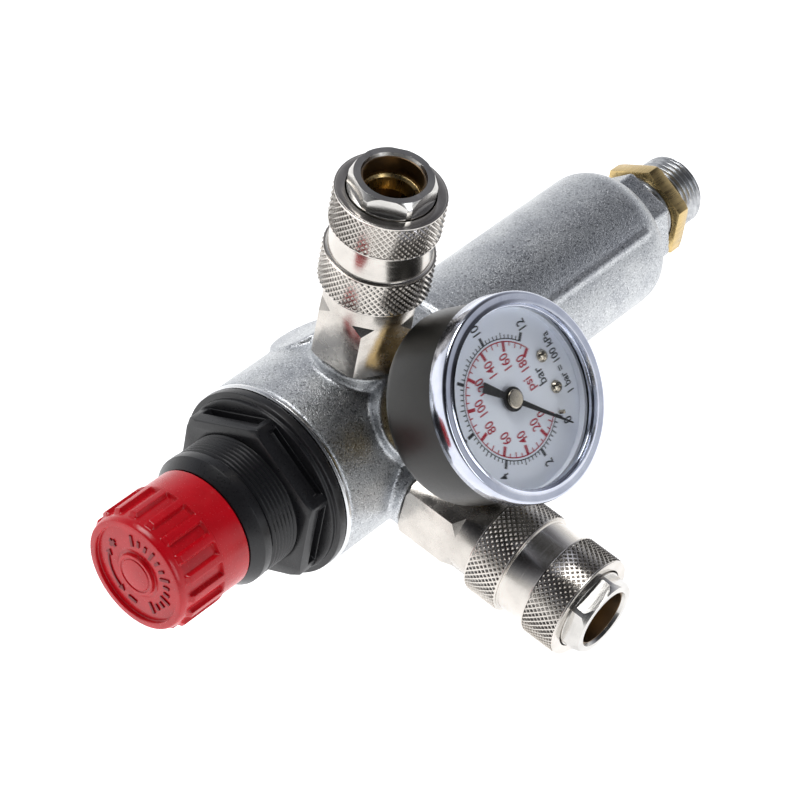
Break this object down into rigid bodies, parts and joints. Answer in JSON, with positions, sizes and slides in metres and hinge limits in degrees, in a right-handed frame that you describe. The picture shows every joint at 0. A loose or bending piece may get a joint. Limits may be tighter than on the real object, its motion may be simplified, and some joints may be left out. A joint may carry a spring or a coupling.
{
  "type": "air pressure regulator",
  "caption": "In-line compressed air regulator with a turning and lifting knob, a pressure gauge and two push-to-connect couplers on a die-cast body.",
  "frame": {"origin": "centre of the inlet thread's end face", "axes": "+X out of the inlet along the main axis, +Z out of the first coupler, -Y out of the second coupler; the gauge looks between them along (0, -1, 1)"},
  "size_m": [0.1777, 0.0925, 0.0924],
  "materials": {
    "cast_zinc": "bare die casting, fine grain",
    "nickel": "bright nickel plate",
    "bright_steel": "bright turned steel",
    "brass": "turned",
    "sintered_bronze": "sintered",
    "chrome": "polished",
    "spring_steel": "drawn wire",
    "black_plastic": "satin moulded",
    "red_plastic": "glossy moulded",
    "case_steel": "satin black",
    "dial_white": "printed white",
    "lens_clear": "clear window",
    "pointer_black": "matt black",
    "rubber": "moulded"
  },
  "bodies": {
    "regulator": {"regulator_body": "cast_zinc", "inlet_lock_nut": "brass", "bonnet": "black_plastic", "control_spring": "spring_steel", "diaphragm": "rubber", "valve_seat": "brass", "valve_spring": "spring_steel", "valve_retainer": "brass", "filter_element": "sintered_bronze", "gauge_stem": "brass", "gauge_case": "case_steel", "gauge_bezel": "chrome", "gauge_dial": "dial_white", "gauge_lens": "lens_clear", "dial_screw_1": "bright_steel", "dial_screw_2": "bright_steel", "pointer_stop": "pointer_black", "movement_frame": "brass", "bourdon_tube": "brass", "coupler_base_1": "nickel", "coupler_body_1": "nickel", "port_o_ring_1": "rubber", "sleeve_spring_1": "spring_steel", "coupler_insert_1": "brass", "coupler_seal_1": "rubber", "coupler_valve_spring_1": "spring_steel", "coupler_base_2": "nickel", "coupler_body_2": "nickel", "port_o_ring_2": "rubber", "sleeve_spring_2": "spring_steel", "coupler_insert_2": "brass", "coupler_seal_2": "rubber", "coupler_valve_spring_2": "spring_steel"},
    "adjusting_screw": {"adjusting_screw": "bright_steel"},
    "adjusting_knob": {"adjusting_knob": "red_plastic"},
    "spring_nut": {"spring_nut": "brass"},
    "diaphragm_plate": {"diaphragm_plate": "bright_steel"},
    "main_valve": {"valve_poppet": "brass", "valve_seal": "rubber"},
    "sector_gear": {"sector_gear": "brass"},
    "pointer": {"gauge_pointer": "pointer_black", "pointer_arbor": "brass", "pointer_cap": "bright_steel"},
    "gauge_link": {"gauge_link": "bright_steel"},
    "sleeve_1": {"coupler_sleeve_1": "nickel"},
    "coupler_valve_1": {"coupler_valve_1": "brass"},
    "ball_1_1": {"locking_ball_1_1": "bright_steel"},
    "ball_1_2": {"locking_ball_1_2": "bright_steel"},
    "ball_1_3": {"locking_ball_1_3": "bright_steel"},
    "sleeve_2": {"coupler_sleeve_2": "nickel"},
    "coupler_valve_2": {"coupler_valve_2": "brass"},
    "ball_2_1": {"locking_ball_2_1": "bright_steel"},
    "ball_2_2": {"locking_ball_2_2": "bright_steel"},
    "ball_2_3": {"locking_ball_2_3": "bright_steel"}
  },
  "joints": [
    {"name": "adjust_turn", "type": "hinge", "parent": "regulator", "child": "adjusting_screw", "pos_m": [-0.1378, 0, 0], "axis": [1, 0, 0], "range_deg": [0, 1531]},
    {"name": "knob_pull", "type": "slide", "parent": "adjusting_screw", "child": "adjusting_knob", "axis": [-1, 0, 0], "range_m": [0, 0.003]},
    {"name": "spring_nut_travel", "type": "slide", "parent": "regulator", "child": "spring_nut", "axis": [1, 0, 0], "range_m": [0, 0.0085], "deforming": ["control_spring"]},
    {"name": "diaphragm_travel", "type": "slide", "parent": "regulator", "child": "diaphragm_plate", "axis": [1, 0, 0], "range_m": [0, 0.0012], "stiffness_N_per_m": 2000, "springref_m": -0.001, "deforming": ["diaphragm"]},
    {"name": "main_valve_lift", "type": "slide", "parent": "regulator", "child": "main_valve", "axis": [1, 0, 0], "range_m": [0, 0.0013], "deforming": ["valve_spring"]},
    {"name": "sector_turn", "type": "hinge", "parent": "regulator", "child": "sector_gear", "pos_m": [-0.1058, 0, 0], "axis": [0, -0.7071, 0.7071], "range_deg": [0, 33], "stiffness_Nm_per_rad": 0.002, "springref_deg": -5.73},
    {"name": "pointer_turn", "type": "hinge", "parent": "regulator", "child": "pointer", "pos_m": [-0.1148, 0, 0], "axis": [0, 0.7071, -0.7071], "range_deg": [0, 265]},
    {"name": "link_swing", "type": "hinge", "parent": "sector_gear", "child": "gauge_link", "pos_m": [-0.1023, 0, 0], "axis": [0, -0.7071, 0.7071], "range_deg": [-34, 0]},
    {"name": "sleeve_1_pull", "type": "slide", "parent": "regulator", "child": "sleeve_1", "axis": [0, 0, -1], "range_m": [0, 0.003], "stiffness_N_per_m": 500, "springref_m": -0.006, "deforming": ["sleeve_spring_1"]},
    {"name": "coupler_valve_1_push", "type": "slide", "parent": "regulator", "child": "coupler_valve_1", "axis": [0, 0, -1], "range_m": [0, 0.003], "stiffness_N_per_m": 300, "springref_m": -0.006, "deforming": ["coupler_valve_spring_1"]},
    {"name": "ball_1_1_shift", "type": "slide", "parent": "regulator", "child": "ball_1_1", "axis": [1, 0, 0], "range_m": [0, 0.0012]},
    {"name": "ball_1_2_shift", "type": "slide", "parent": "regulator", "child": "ball_1_2", "axis": [-0.5, 0.866, 0], "range_m": [0, 0.0012]},
    {"name": "ball_1_3_shift", "type": "slide", "parent": "regulator", "child": "ball_1_3", "axis": [-0.5, -0.866, 0], "range_m": [0, 0.0012]},
    {"name": "sleeve_2_pull", "type": "slide", "parent": "regulator", "child": "sleeve_2", "axis": [0, 1, 0], "range_m": [0, 0.003], "stiffness_N_per_m": 500, "springref_m": -0.006, "deforming": ["sleeve_spring_2"]},
    {"name": "coupler_valve_2_push", "type": "slide", "parent": "regulator", "child": "coupler_valve_2", "axis": [0, 1, 0], "range_m": [0, 0.003], "stiffness_N_per_m": 300, "springref_m": -0.006, "deforming": ["coupler_valve_spring_2"]},
    {"name": "ball_2_1_shift", "type": "slide", "parent": "regulator", "child": "ball_2_1", "axis": [1, 0, 0], "range_m": [0, 0.0012]},
    {"name": "ball_2_2_shift", "type": "slide", "parent": "regulator", "child": "ball_2_2", "axis": [-0.5, 0, 0.866], "range_m": [0, 0.0012]},
    {"name": "ball_2_3_shift", "type": "slide", "parent": "regulator", "child": "ball_2_3", "axis": [-0.5, 0, -0.866], "range_m": [0, 0.0012]}
  ],
  "couplings": [
    {"joint": "adjust_turn", "follows": "spring_nut_travel", "rad_per_m": 3141.6},
    {"joint": "main_valve_lift", "follows": "diaphragm_travel", "ratio": 1},
    {"joint": "pointer_turn", "follows": "sector_turn", "ratio": 8},
    {"joint": "link_swing", "follows": "sector_turn", "ratio": -1},
    {"joint": "ball_1_1_shift", "follows": "sleeve_1_pull", "ratio": 0.36667},
    {"joint": "ball_1_2_shift", "follows": "sleeve_1_pull", "ratio": 0.36667},
    {"joint": "ball_1_3_shift", "follows": "sleeve_1_pull", "ratio": 0.36667},
    {"joint": "ball_2_1_shift", "follows": "sleeve_2_pull", "ratio": 0.36667},
    {"joint": "ball_2_2_shift", "follows": "sleeve_2_pull", "ratio": 0.36667},
    {"joint": "ball_2_3_shift", "follows": "sleeve_2_pull", "ratio": 0.36667}
  ]
}
